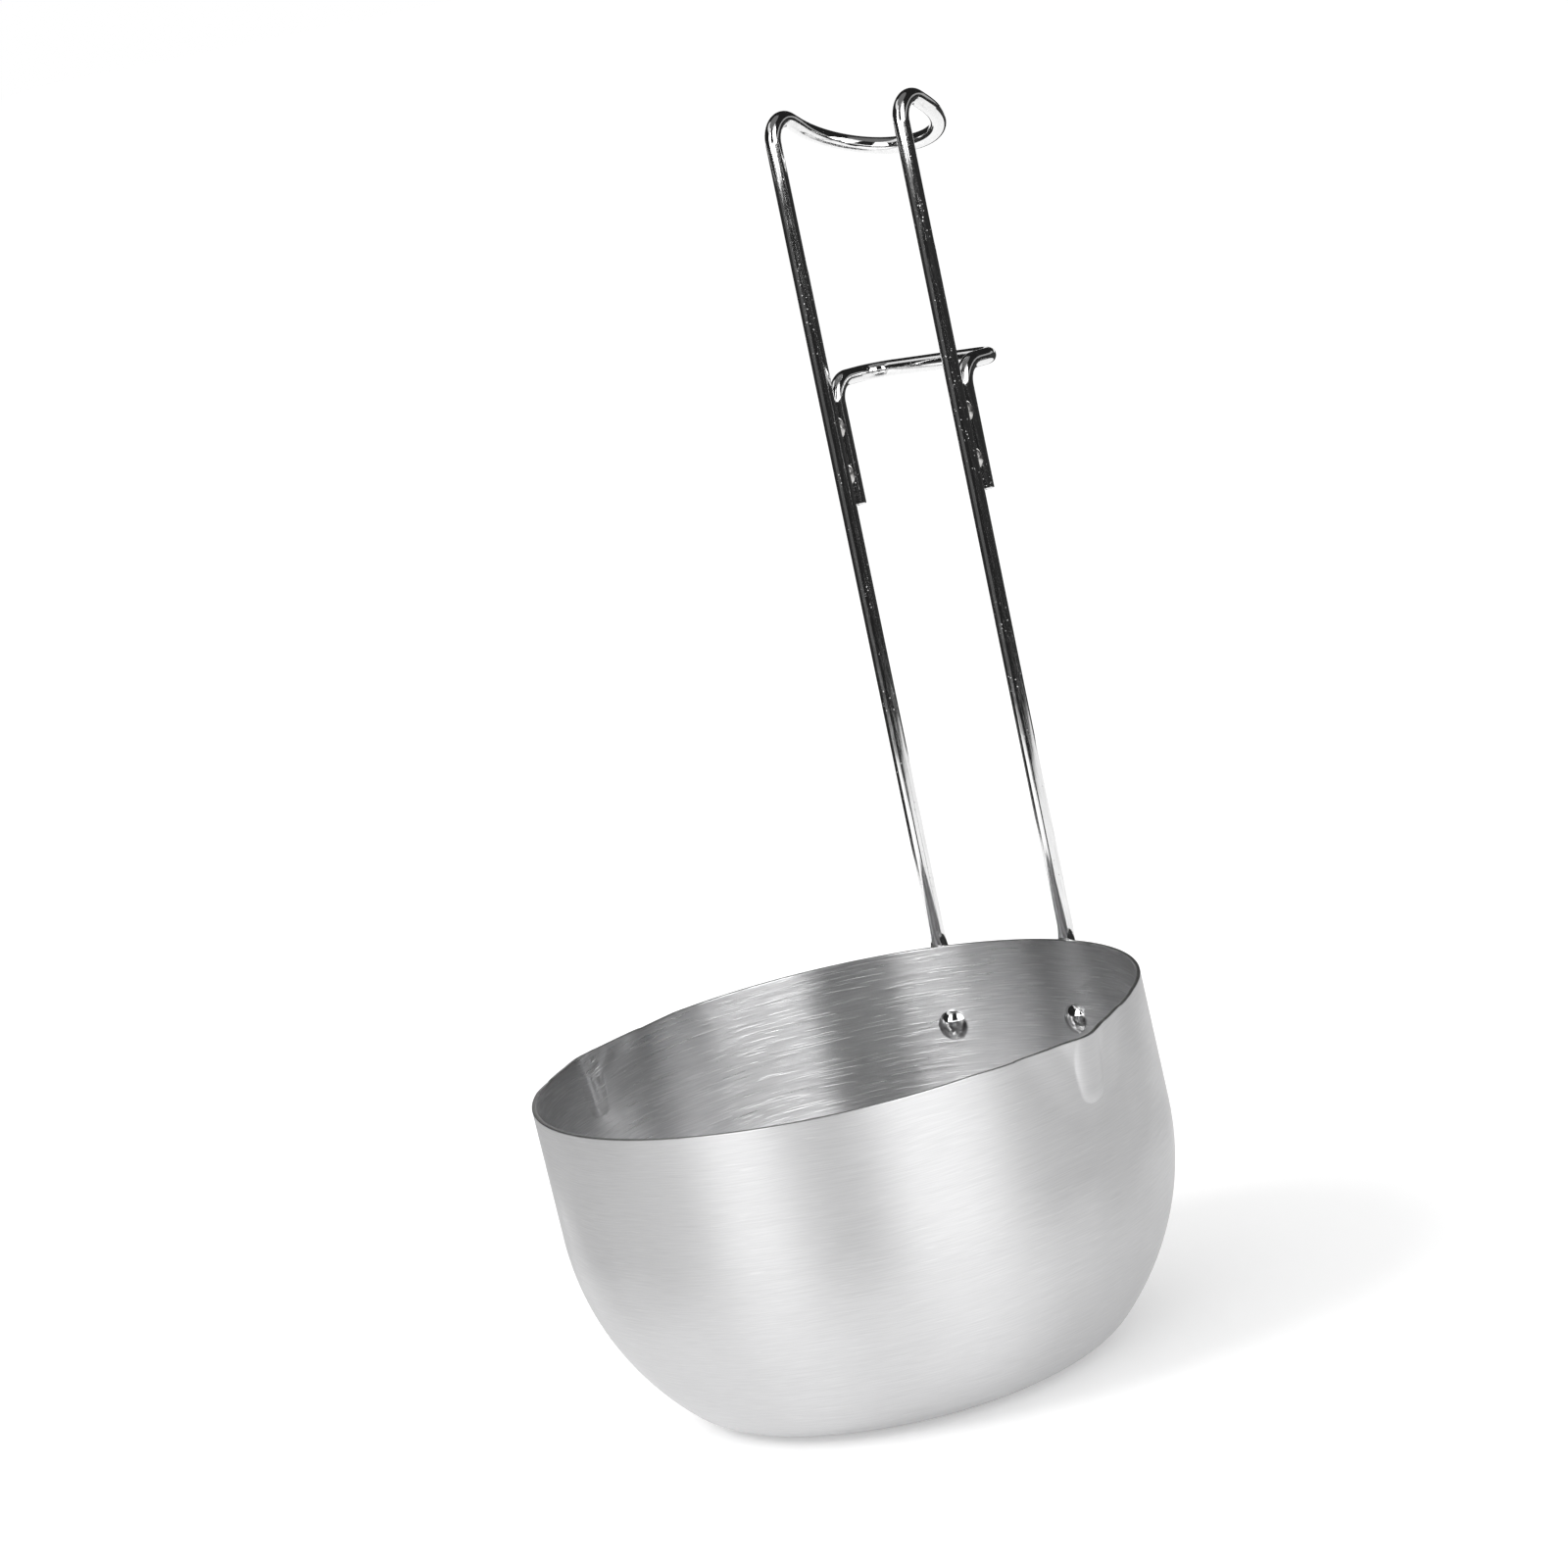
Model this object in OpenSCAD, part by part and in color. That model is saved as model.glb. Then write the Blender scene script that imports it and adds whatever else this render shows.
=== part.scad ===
// Gravy ladle: a deep round bowl pressed from thin steel sheet, with a small pouring lip on
// each side, and a tall handle bent from one round wire that is flattened and riveted at both ends.
// Origin: centre of the flat bottom. +Z is up, and the handle stands at +Y.

/* [Bowl] */
// Outer diameter at the rim
bowl_d = 110; // [90:1:130]
// Height from the flat bottom to the rim
bowl_h = 61.8; // [54:0.1:74]
// Diameter of the flat bottom
base_d = 65; // [56:0.5:74]
// Radius of the big curve up the side
side_r = 49; // [44:0.5:54]
// Radius of the tighter curve round the bottom
corner_r = 12; // [8:0.5:16]
// Thickness of the sheet
sheet_t = 0.8; // [0.5:0.1:1.2]

/* [Pouring lips] */
// Angle from the handle round to each lip
lip_angle = 94; // [80:1:100]
// How far each lip stands out at the rim
lip_out = 2.2; // [1.2:0.1:3]
// How far each lip runs down the wall
lip_len = 12.5; // [9:0.5:16]
// Radius of the channel pressed into each lip
lip_r = 6.5; // [4:0.5:8]
// How far the rim is drawn out around each lip
flare_out = 1; // [0.4:0.1:1.4]
// How far that drawn part runs down the wall
flare_len = 16; // [12:0.5:20]
// Radius of that drawn part
flare_r = 35; // [28:1:40]
// How far the rim dips at each lip
dip_h = 0.7; // [0.2:0.1:1]
// Width of that dip along the rim
dip_w = 46; // [30:1:52]

/* [Handle wire] */
// Diameter of the wire
wire_d = 3; // [2.4:0.1:3.6]
// Distance between the two legs, centre to centre
leg_gap = 29; // [24:0.2:34]
// Height of the handle's top corner above the rim
handle_h = 158; // [130:1:180]
// Lean of the legs away from the bowl
handle_lean = 2.05; // [0:0.05:5]
// Thickness of each flattened end
tab_t = 1.2; // [0.9:0.05:1.6]
// Height above the rim where the wire starts to flatten
flatten_above = 3; // [1:0.5:6]
// Depth below the rim where the wire is fully flat
flatten_below = 5; // [3:0.5:8]

/* [Hanging hook] */
// Radius of the bend at the top, to the middle of the wire
top_bend_r = 4; // [3:0.1:6]
// Slope of the hook's arms below level
top_drop = 33.5; // [15:0.5:45]
// Straight length of each arm
top_arm = 2; // [0.5:0.1:8]
// Roundness of the closed end, as a share of half its width
top_round_share = 0.97; // [0.4:0.01:0.98]

/* [Pot hook] */
// Height of the pot hook's corner above the rim
pot_hook_h = 106.4; // [85:0.1:120]
// Distance from that corner down to the cut ends of its legs
pot_leg = 23.3; // [18:0.1:30]
// Radius of its bends, to the middle of the wire
pot_bend_r = 4; // [3:0.1:6]
// Slope of its shelf below level
pot_drop = 4; // [0:0.5:20]
// Straight length of the shelf's sides
pot_arm = 3; // [0.5:0.1:10]
// Roundness of the shelf's corners, as a share of half its width
pot_round_share = 0.35; // [0.25:0.01:0.9]

/* [Rivets] */
// Depth of the rivets below the rim
rivet_depth = 15.1; // [12:0.1:20]
// Diameter of the rivet shank
rivet_d = 3; // [2.4:0.1:3.4]
// Diameter of the round head inside the bowl
head_d = 5.6; // [5:0.1:7]
// Height of that head
head_h = 1.6; // [1.2:0.1:2.2]
// Height of the straight edge below the head's dome
head_edge = 0.4; // [0.2:0.1:0.6]
// Diameter of the upset tail outside
tail_d = 5; // [4:0.1:5.6]
// Height of that tail
tail_h = 0.9; // [0.6:0.1:1.4]

/* [Welds] */
// Number of spot welds on each leg of the pot hook
weld_count = 2; // [1:1:3]
// Distance from the cut end up to the first weld
weld_start = 6; // [4:0.1:8]
// Distance from one weld to the next
weld_pitch = 8.8; // [4.5:0.1:10]
// Length of each weld
weld_len = 4; // [2:0.1:4.4]
// Thickness of each weld at its middle
weld_d = 2.8; // [1.4:0.1:3]

/* [Hidden] */
$fn = 96;
sheet_steel = "silver";
bright_steel = "gainsboro";
// Gap between pieces that are pressed, riveted or welded together
seat_gap = 0.03;
// Gap between the welded wires, which the weld metal bridges
weld_gap = 0.1;
// How much thicker the wire is round a bend, and how far a straight stretch is seated in it
bend_swell = 0.02;
bend_seat = 0.1;
// How far a cutting shape runs past what it cuts
overrun = 1;

bowl_r = bowl_d / 2;
base_r = base_d / 2;
// Angle up from the bottom at which the two curves of the side meet
meet_angle = asin((base_r - bowl_r + side_r) / (side_r - corner_r));
side_centre = [bowl_r - side_r, corner_r + (side_r - corner_r) * cos(meet_angle)];
side_steps = 14;
corner_steps = 8;
// How far the shapes that press a lip run on inside the bowl below it
lip_root = side_r / 4;
dip_sides = 360;

wire_r = wire_d / 2;
// Where the wire's middle is when it is round again, just above the rim
foot_r = bowl_r + seat_gap + wire_r;
tab_angle = asin(leg_gap / 2 / foot_r);
leg_foot = [leg_gap / 2, foot_r * cos(tab_angle), bowl_h + flatten_above];
leg_dir = [0, sin(handle_lean), cos(handle_lean)];
leg_len = (handle_h - flatten_above) / cos(handle_lean);
top_round = leg_gap / 2 * top_round_share;

// The pot hook's legs lie against the outer side of the handle's legs
pot_out = wire_d + weld_gap;
pot_rise = (pot_hook_h - flatten_above) / cos(handle_lean) - pot_leg;
pot_round = leg_gap / 2 * pot_round_share;
bead_steps = 12;

rivet_z = bowl_h - rivet_depth;
tab_half_t = tab_t / 2;
tab_half_w = flat_half_w(tab_half_t);
// How far the flattened end runs past the rivet, as a share of its own half width
tab_end_share = 1.15;
tab_end_z = rivet_z - tab_half_w * tab_end_share;
// Angle round the flattened end's tip at which its skin closes
tip_turn = 78;
// How fast the points round a flattened section move across its flats
flat_rate = 2;
// Size of the rings hidden inside the round leg, as a share of its own
join_share = 0.99;
tab_sides = 20;
tip_steps = 5;
flatten_steps = 8;
// Depth inside the flattened end at which a rivet's tail starts
tail_sink = tab_t / 4;

function ease(x) = x * x * (3 - 2 * x);

// Half the width of a wire pressed to half thickness b, with the wire's area of section kept
function flat_half_w(b) = b + PI * (wire_r * wire_r - b * b) / (4 * b);

// Points round the section of a flattened wire of half width a and half thickness b, turned by turn
function section(a, b, turn) = [
    for (k = [0 : tab_sides - 1])
        let (q = (k + 0.5) * 360 / tab_sides, flat = max(-1, min(1, flat_rate * cos(q))))
            let (x = (a - b) * flat + b * cos(q), y = b * sin(q))
                [x * cos(turn) - y * sin(turn), x * sin(turn) + y * cos(turn)]
];

// That section at height z on the right end of the wire, wrapped on to the bowl's round wall
function wall_ring(z, a, b, turn) = [
    for (p = section(a, b, turn))
        let (r = bowl_r + seat_gap + b + p.y, q = tab_angle + p.x / r * 180 / PI)
            [r * sin(q), r * cos(q), z]
];

// The flattened end's rounded tip
function tip_rings() = [
    for (i = [tip_steps : -1 : 0])
        let (q = tip_turn * i / tip_steps, a = tab_half_t + (tab_half_w - tab_half_t) * cos(q))
            wall_ring(tab_end_z + tab_half_w * (1 - sin(q)), a, tab_half_t, 0)
];

// Its change back from flat to round
function flatten_rings() = [
    for (i = [0 : flatten_steps - 1])
        let (
            x = ease(i / flatten_steps),
            z = bowl_h - flatten_below + (flatten_above + flatten_below) * i / flatten_steps,
            b = tab_half_t + (wire_r - tab_half_t) * x
        )
            wall_ring(z, flat_half_w(b), b, tab_angle * x)
];

// Two rings inside the foot of the round leg, which join the flattened end to it
function join_rings() = [
    for (rise = [0, wire_r])
        [
            for (p = section(wire_r, wire_r, 0))
                leg_foot + leg_dir * rise + [p.x, p.y, 0] * join_share
        ]
];

// A closed skin over rings that have the same number of points
module skin(rings) {
    n = tab_sides;
    last = len(rings) - 1;
    sides = [
        for (i = [0 : last - 1], k = [0 : n - 1])
            let (a = i * n + k, b = i * n + (k + 1) % n)
                each [[a, a + n, b + n], [a, b + n, b]]
    ];
    ends = [[for (k = [0 : n - 1]) k], [for (k = [n - 1 : -1 : 0]) last * n + k]];
    polyhedron(points = [for (r = rings) each r], faces = concat(sides, ends), convexity = 4);
}

module both_sides() {
    for (side = [0, 1])
        mirror([side, 0, 0])
            children();
}

// Sets its children on the right leg's line, with +Z up the leg and +X away from the bowl
module on_leg(rise, out) {
    translate(leg_foot)
        rotate([0, 0, 90])
            rotate([0, handle_lean, 0])
                translate([out, 0, rise])
                    children();
}

// A straight stretch of wire along +Z, seated in the bends at its ends, and its children after it
module straight(length) {
    translate([0, 0, -bend_seat])
        cylinder(d = wire_d, h = length + 2 * bend_seat);
    translate([0, 0, length])
        children();
}

// A bend of the wire from +Z towards +X, and its children at the far end
module bend(r, turn) {
    translate([r, 0, 0]) {
        rotate([90, 0, 180])
            rotate_extrude(angle = turn)
                translate([r, 0])
                    circle(d = wire_d + bend_swell);
        rotate([0, turn, 0])
            translate([-r, 0, 0])
                children();
    }
}

// A hook bent from one length of wire: up a leg, out along an arm that slopes below level,
// round the closed end, and back the same way down the other leg
module hook(leg, drop, bend_r, arm, round_r) {
    turn = 90 + drop - handle_lean;
    leg_run = leg - bend_r * tan(turn / 2) - bend_seat;
    translate([0, 0, bend_seat])
        straight(leg_run)
            bend(bend_r, turn)
                straight(arm)
                    rotate([0, 0, 90])
                        bend(round_r, 90)
                            straight(leg_gap - 2 * round_r)
                                bend(round_r, 90)
                                    rotate([0, 0, -90])
                                        straight(arm)
                                            bend(bend_r, turn)
                                                straight(leg_run);
}

// Outline of the bowl's solid form, drawn in from the outer face by inset
module bowl_outline(inset, top) {
    corner_arc = [
        for (i = [0 : corner_steps])
            let (q = meet_angle * i / corner_steps)
                [base_r, corner_r] + (corner_r - inset) * [sin(q), -cos(q)]
    ];
    side_arc = [
        for (i = [1 : side_steps])
            let (q = meet_angle + (90 - meet_angle) * i / side_steps)
                side_centre + (side_r - inset) * [sin(q), -cos(q)]
    ];
    polygon(concat([[0, inset]], corner_arc, side_arc, [[bowl_r - inset, top], [0, top]]));
}

// A leaning cylinder that breaks through the wall: out past it at the rim, and flush at depth run
module lip_form(r, out, run, inset) {
    lean = atan(out / run);
    translate([0, bowl_r + out - r / cos(lean), bowl_h])
        rotate([-lean, 0, 0])
            translate([0, 0, -run - lip_root])
                cylinder(r = r - inset, h = run + lip_root + dip_h + overrun);
}

module lips(inset) {
    for (side = [-1, 1])
        rotate([0, 0, -side * lip_angle]) {
            lip_form(lip_r, lip_out, lip_len, inset);
            lip_form(flare_r, flare_out, flare_len, inset);
        }
}

// What is cut away over the rim: a level face with a shallow dip at each lip
module above_rim() {
    dip_r = (dip_w * dip_w / 4 + dip_h * dip_h) / (2 * dip_h);
    translate([0, 0, bowl_h])
        cylinder(r = bowl_r + lip_out + overrun, h = 2 * lip_out + 2 * overrun + dip_h);
    for (side = [-1, 1])
        rotate([0, 0, -side * lip_angle])
            translate([0, bowl_r / 2, bowl_h + dip_r - dip_h])
                rotate([-90, 0, 0])
                    cylinder(r = dip_r, h = bowl_r / 2 + lip_out + overrun, $fn = dip_sides);
}

// Sets its children on a rivet's axis, with their own +Z pointing out from the bowl
module at_rivet(side) {
    rotate([0, 0, -side * tab_angle])
        translate([0, 0, rivet_z])
            rotate([-90, 0, 0])
                children();
}

module rivet_holes() {
    for (side = [-1, 1])
        at_rivet(side)
            translate([0, 0, bowl_r / 2])
                cylinder(d = rivet_d + 2 * seat_gap, h = bowl_r / 2 + wire_d + overrun);
}

// Half outline of a dome of diameter d and height h that stands on level z, with an edge below it
module dome_outline(d, h, edge, z) {
    rise = h - edge;
    dome_r = (d * d / 4 + rise * rise) / (2 * rise);
    translate([0, z])
        square([d / 2, edge]);
    intersection() {
        translate([0, z + h - dome_r])
            circle(r = dome_r);
        translate([0, z])
            square([d / 2, h]);
    }
}

module bowl() {
    color(sheet_steel)
        difference() {
            union() {
                rotate_extrude()
                    bowl_outline(0, bowl_h);
                lips(0);
            }
            rotate_extrude()
                bowl_outline(sheet_t, bowl_h + overrun);
            lips(sheet_t);
            above_rim();
            rivet_holes();
        }
}

module handle_wire() {
    color(bright_steel)
        difference() {
            union() {
                on_leg(0, 0)
                    hook(leg_len, top_drop, top_bend_r, top_arm, top_round);
                both_sides()
                    skin(concat(tip_rings(), flatten_rings(), join_rings()));
            }
            rivet_holes();
        }
}

module pot_hook() {
    color(bright_steel)
        on_leg(pot_rise, pot_out)
            hook(pot_leg, pot_drop, pot_bend_r, pot_arm, pot_round);
}

// The head is seated on the wall inside, and the tail is upset against the flattened wire outside
module rivet(side) {
    head_foot = bowl_r - sheet_t;
    tail_foot = bowl_r + seat_gap + tab_t;
    color(bright_steel) {
        intersection() {
            at_rivet(side)
                translate([0, 0, head_foot])
                    mirror([0, 0, 1])
                        rotate_extrude()
                            dome_outline(head_d, head_h, head_edge, 0);
            cylinder(r = head_foot - seat_gap, h = bowl_h);
        }
        at_rivet(side)
            translate([0, 0, head_foot - head_edge])
                cylinder(d = rivet_d, h = tail_foot - head_foot + head_edge + tail_h / 2);
        difference() {
            at_rivet(side)
                rotate_extrude()
                    dome_outline(tail_d, tail_h + tail_sink, tail_sink, tail_foot - tail_sink);
            cylinder(r = tail_foot + seat_gap, h = bowl_h);
        }
    }
}

module rivet_left() {
    rivet(-1);
}

module rivet_right() {
    rivet(1);
}

// A spindle of weld metal, which the two wires then cut to the grooves between them
module weld_bead() {
    rotate_extrude()
        polygon([
            for (i = [0 : bead_steps])
                let (q = 180 * i / bead_steps - 90)
                    [weld_d / 2 * cos(q), weld_len / 2 * sin(q)]
        ]);
}

module hook_welds() {
    color(sheet_steel)
        both_sides()
            difference() {
                for (i = [0 : weld_count - 1])
                    on_leg(pot_rise + weld_start + i * weld_pitch, pot_out / 2)
                        weld_bead();
                for (out = [0, pot_out])
                    on_leg(pot_rise - weld_len, out)
                        cylinder(d = wire_d + seat_gap, h = pot_leg + weld_len);
            }
}

bowl();
handle_wire();
pot_hook();
rivet_left();
rivet_right();
hook_welds();
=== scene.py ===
from math import asin, atan, cos, pi, radians, sin, tan

import bmesh
import bpy
from mathutils import Matrix, Vector


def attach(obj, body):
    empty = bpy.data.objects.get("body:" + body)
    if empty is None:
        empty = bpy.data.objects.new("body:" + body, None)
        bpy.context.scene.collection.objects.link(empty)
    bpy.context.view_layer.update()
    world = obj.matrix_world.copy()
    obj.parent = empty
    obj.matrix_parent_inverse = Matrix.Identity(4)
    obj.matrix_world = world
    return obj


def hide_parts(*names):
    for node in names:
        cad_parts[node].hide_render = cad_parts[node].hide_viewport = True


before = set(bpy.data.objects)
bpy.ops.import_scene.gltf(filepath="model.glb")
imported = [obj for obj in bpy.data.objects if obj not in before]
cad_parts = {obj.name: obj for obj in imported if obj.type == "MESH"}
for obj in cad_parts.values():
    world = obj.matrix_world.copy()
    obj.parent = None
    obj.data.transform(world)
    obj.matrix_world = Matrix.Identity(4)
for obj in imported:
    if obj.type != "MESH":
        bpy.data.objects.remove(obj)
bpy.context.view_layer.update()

mm = 0.001
xAxis = Vector((1, 0, 0))
zAxis = Vector((0, 0, 1))
mergeGap = 0.001 * mm  # points closer than this are one point
slightStep = 0.01 * mm  # too small to see, and more than the error of a point's place


# sizes that more than one piece follows
ladle = {
    "rimRadius": 55 * mm,
    "bowlHeight": 61.8 * mm,
    "sheet": 0.8 * mm,
    "wireRadius": 1.5 * mm,
    "legGap": 29 * mm,
    "legLean": radians(2.05),
    "footAboveRim": 3 * mm,
    "rivetBelowRim": 15.1 * mm,
    "seatGap": 0.03 * mm,
    "wireSides": 40,
}

footRadius = ladle["rimRadius"] + ladle["seatGap"] + ladle["wireRadius"]
tabAngle = asin(ladle["legGap"] / 2 / footRadius)
legFoot = Vector((
    ladle["legGap"] / 2,
    footRadius * cos(tabAngle),
    ladle["bowlHeight"] + ladle["footAboveRim"],
))
legUp = Vector((0, sin(ladle["legLean"]), cos(ladle["legLean"])))
legOut = Vector((0, cos(ladle["legLean"]), -sin(ladle["legLean"])))
rivetHeight = ladle["bowlHeight"] - ladle["rivetBelowRim"]


def deselectAll():
    if bpy.context.mode != "OBJECT":
        bpy.ops.object.mode_set(mode="OBJECT")
    bpy.ops.object.select_all(action="DESELECT")


def selectOnly(piece):
    deselectAll()
    piece.select_set(True)
    bpy.context.view_layer.objects.active = piece


def nameNewPiece(name):
    piece = bpy.context.object
    piece.name = name
    piece.data.name = name
    return piece


# a vertex to draw a profile from: a small plane merged to its middle
def startFromPoint(name, point):
    deselectAll()
    bpy.ops.mesh.primitive_plane_add(size=mm, location=(0, 0, 0))
    piece = nameNewPiece(name)
    bpy.ops.object.mode_set(mode="EDIT")
    bpy.ops.mesh.merge(type="CENTER")
    bpy.ops.transform.translate(value=point)
    return piece


def extrudeBy(move, steps=1):
    for _ in range(steps):
        bpy.ops.mesh.extrude_region_move(TRANSFORM_OT_translate={"value": move / steps})


# draws radius and height points by extruding the last vertex, then spins them about Z
def spinProfile(name, points, steps):
    piece = startFromPoint(name, (points[0][0], 0, points[0][1]))
    for last, point in zip(points, points[1:]):
        extrudeBy(Vector((point[0] - last[0], 0, point[1] - last[1])))
    bpy.ops.mesh.select_all(action="SELECT")
    bpy.ops.mesh.spin(steps=steps, angle=2 * pi, center=(0, 0, 0), axis=zAxis)
    bpy.ops.mesh.select_all(action="SELECT")
    bpy.ops.mesh.remove_doubles(threshold=mergeGap)
    bpy.ops.mesh.normals_make_consistent(inside=False)
    bpy.ops.object.mode_set(mode="OBJECT")
    return piece


def applyModifier(piece, kind, **settings):
    selectOnly(piece)
    modifier = piece.modifiers.new(kind.lower(), kind)
    for key, value in settings.items():
        setattr(modifier, key, value)
    bpy.ops.object.modifier_apply(modifier=modifier.name)


# smooth shading, with the edges that turn by more than the angle left sharp
def smoothPiece(piece, angle):
    selectOnly(piece)
    bpy.ops.object.shade_smooth_by_angle(angle=angle)


# selects the vertices of the piece in edit mode that pass a test
def selectWhere(piece, test):
    bpy.ops.mesh.select_mode(type="VERT")
    bpy.ops.mesh.select_all(action="DESELECT")
    mesh = bmesh.from_edit_mesh(piece.data)
    for vertex in mesh.verts:
        vertex.select = test(vertex)
    mesh.select_flush_mode()
    bmesh.update_edit_mesh(piece.data)


# the bowl: one pressing of thin sheet
bowlShape = {
    "baseRadius": 32.5 * mm,
    "cornerRadius": 12 * mm,
    "sideRadius": 49 * mm,
    "trimAbove": 3 * mm,
    "rimBand": 0.4 * mm,
    "rimEdge": 0.28 * mm,
    "rimEdgeSteps": 4,
    "rimEdgeAngle": radians(50),
    "sharpAngle": radians(40),
    "roundSteps": 440,
    "cornerSteps": 10,
    "sideSteps": 22,
    "wallSteps": 42,
    "trimSteps": 5,
    "baseSteps": 5,
}

# each lip is pressed in three steps, from the wide drawn part to the narrow channel
lipShape = {
    "angle": radians(94),
    "drawnPart": {"radius": 35 * mm, "out": 1 * mm, "run": 16 * mm, "roundEnd": 40 * mm},
    "throat": {"radius": 13 * mm, "out": 1.9 * mm, "run": 10 * mm, "roundEnd": 30 * mm},
    "channel": {"radius": 7.6 * mm, "out": 2.09 * mm, "run": 17 * mm, "roundEnd": 9 * mm},
    "formerAbove": 14 * mm,
    "formerSides": 256,
    "formerRings": 64,
    "pressReach": 24 * mm,
    "softenReach": 15 * mm,
    "softenFactor": 0.5,
    "softenSteps": {"drawnPart": 24, "throat": 10, "channel": 2},
    "refineReach": 13 * mm,
    "refineCuts": 2,
    "rimDip": 0.7 * mm,
    "dipTip": 0.9 * mm,
    "dipReach": 23 * mm,
}


def bowlProfile():
    rim, base = ladle["rimRadius"], bowlShape["baseRadius"]
    side, corner = bowlShape["sideRadius"], bowlShape["cornerRadius"]
    meet = asin((base - rim + side) / (side - corner))
    sideMiddle = corner + (side - corner) * cos(meet)
    points = []
    for i in range(bowlShape["baseSteps"]):
        points.append((base * i / bowlShape["baseSteps"], 0))
    for i in range(bowlShape["cornerSteps"]):
        turn = meet * i / bowlShape["cornerSteps"]
        points.append((base + corner * sin(turn), corner * (1 - cos(turn))))
    for i in range(bowlShape["sideSteps"]):
        turn = meet + (pi / 2 - meet) * i / bowlShape["sideSteps"]
        points.append((rim - side + side * sin(turn), sideMiddle - side * cos(turn)))
    top = ladle["bowlHeight"]
    for i in range(bowlShape["wallSteps"] + 1):
        points.append((rim, sideMiddle + (top - sideMiddle) * i / bowlShape["wallSteps"]))
    points.insert(-1, (rim, top - bowlShape["rimBand"]))  # a narrow band for the edge's bevel
    for i in range(bowlShape["trimSteps"]):
        points.append((rim, top + bowlShape["trimAbove"] * (i + 1) / bowlShape["trimSteps"]))
    return points


# the level direction out from the bowl's middle to a lip
def lipWay(side):
    return Vector((side * sin(lipShape["angle"]), cos(lipShape["angle"]), 0))


# a leaning punch with a round end that the wall is pressed over, standing out at the rim
def addFormer(name, former, side):
    lean = atan(former["out"] / former["run"])
    along = lipWay(side) * sin(lean) + zAxis * cos(lean)
    atRim = lipWay(side) * (ladle["rimRadius"] + former["out"] - former["radius"] / cos(lean))
    atRim += zAxis * ladle["bowlHeight"]
    deselectAll()
    bpy.ops.mesh.primitive_uv_sphere_add(
        segments=lipShape["formerSides"],
        ring_count=lipShape["formerRings"],
        radius=former["radius"],
        location=atRim - along * former["roundEnd"],
        rotation=(-lean, 0, -side * lipShape["angle"]),
    )
    punch = nameNewPiece(name)
    bpy.ops.object.mode_set(mode="EDIT")
    selectWhere(punch, lambda vertex: vertex.co.z > slightStep)
    bpy.ops.transform.translate(value=along * (former["roundEnd"] + lipShape["formerAbove"]))
    bpy.ops.object.mode_set(mode="OBJECT")
    return punch


# a vertex group of the wall within reach of a point
def groupNear(piece, name, point, reach):
    group = piece.vertex_groups.new(name=name)
    near = [v.index for v in piece.data.vertices if (v.co - point).length < reach]
    group.add(near, 1, "REPLACE")
    return group.name


# cuts the wall's faces near a point into smaller ones, so that a narrow form stays crisp
def refineNear(bowl, point):
    selectOnly(bowl)
    bpy.ops.object.mode_set(mode="EDIT")
    selectWhere(bowl, lambda vertex: (vertex.co - point).length < lipShape["refineReach"])
    bpy.ops.mesh.subdivide(number_cuts=lipShape["refineCuts"])
    bpy.ops.object.mode_set(mode="OBJECT")


def pressLip(bowl, side):
    middle = lipWay(side) * ladle["rimRadius"] + zAxis * ladle["bowlHeight"]
    for name in lipShape["softenSteps"]:
        if name == "channel":
            refineNear(bowl, middle)
        pressed = groupNear(bowl, "pressed", middle, lipShape["pressReach"])
        softened = groupNear(bowl, "softened", middle, lipShape["softenReach"])
        former = addFormer(name + "Former", lipShape[name], side)
        applyModifier(
            bowl, "SHRINKWRAP",
            target=former, vertex_group=pressed,
            wrap_method="NEAREST_SURFACEPOINT", wrap_mode="OUTSIDE",
        )
        bpy.data.objects.remove(former)
        # the press leaves no hard edges in the sheet, so the wall is relaxed after it
        applyModifier(
            bowl, "SMOOTH",
            factor=lipShape["softenFactor"], iterations=lipShape["softenSteps"][name],
            vertex_group=softened,
        )
        for group in (pressed, softened):
            bowl.vertex_groups.remove(bowl.vertex_groups[group])


# the blank is pressed with some sheet above the rim, which is then trimmed off
def trimRim(bowl):
    selectOnly(bowl)
    bpy.ops.object.mode_set(mode="EDIT")
    bpy.ops.mesh.select_mode(type="VERT")
    bpy.ops.mesh.select_all(action="DESELECT")
    bpy.ops.object.vertex_group_select()
    bpy.ops.mesh.delete(type="VERT")
    # drawing a lip out pulls the rim down a little on both sides of it
    for side in (-1, 1):
        tip = lipWay(side) * (ladle["rimRadius"] + lipShape["channel"]["out"])
        tip += zAxis * ladle["bowlHeight"]
        selectWhere(bowl, lambda vertex: (vertex.co - tip).length < lipShape["dipTip"])
        bpy.ops.transform.translate(
            value=(0, 0, -lipShape["rimDip"]),
            use_proportional_edit=True,
            proportional_edit_falloff="INVERSE_SQUARE",
            proportional_size=lipShape["dipReach"],
        )
    bpy.ops.object.mode_set(mode="OBJECT")
    bowl.vertex_groups.clear()


def makeBowl():
    bowl = spinProfile("bowlShell", bowlProfile(), bowlShape["roundSteps"])
    rim = ladle["bowlHeight"] + slightStep
    waste = bowl.vertex_groups.new(name="waste")
    waste.add([v.index for v in bowl.data.vertices if v.co.z > rim], 1, "REPLACE")
    for side in (-1, 1):
        pressLip(bowl, side)
    trimRim(bowl)
    applyModifier(bowl, "SOLIDIFY", thickness=ladle["sheet"], offset=-1)
    applyModifier(
        bowl, "BEVEL",
        width=bowlShape["rimEdge"], segments=bowlShape["rimEdgeSteps"],
        limit_method="ANGLE", angle_limit=bowlShape["rimEdgeAngle"],
    )
    smoothPiece(bowl, bowlShape["sharpAngle"])
    return bowl


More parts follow.
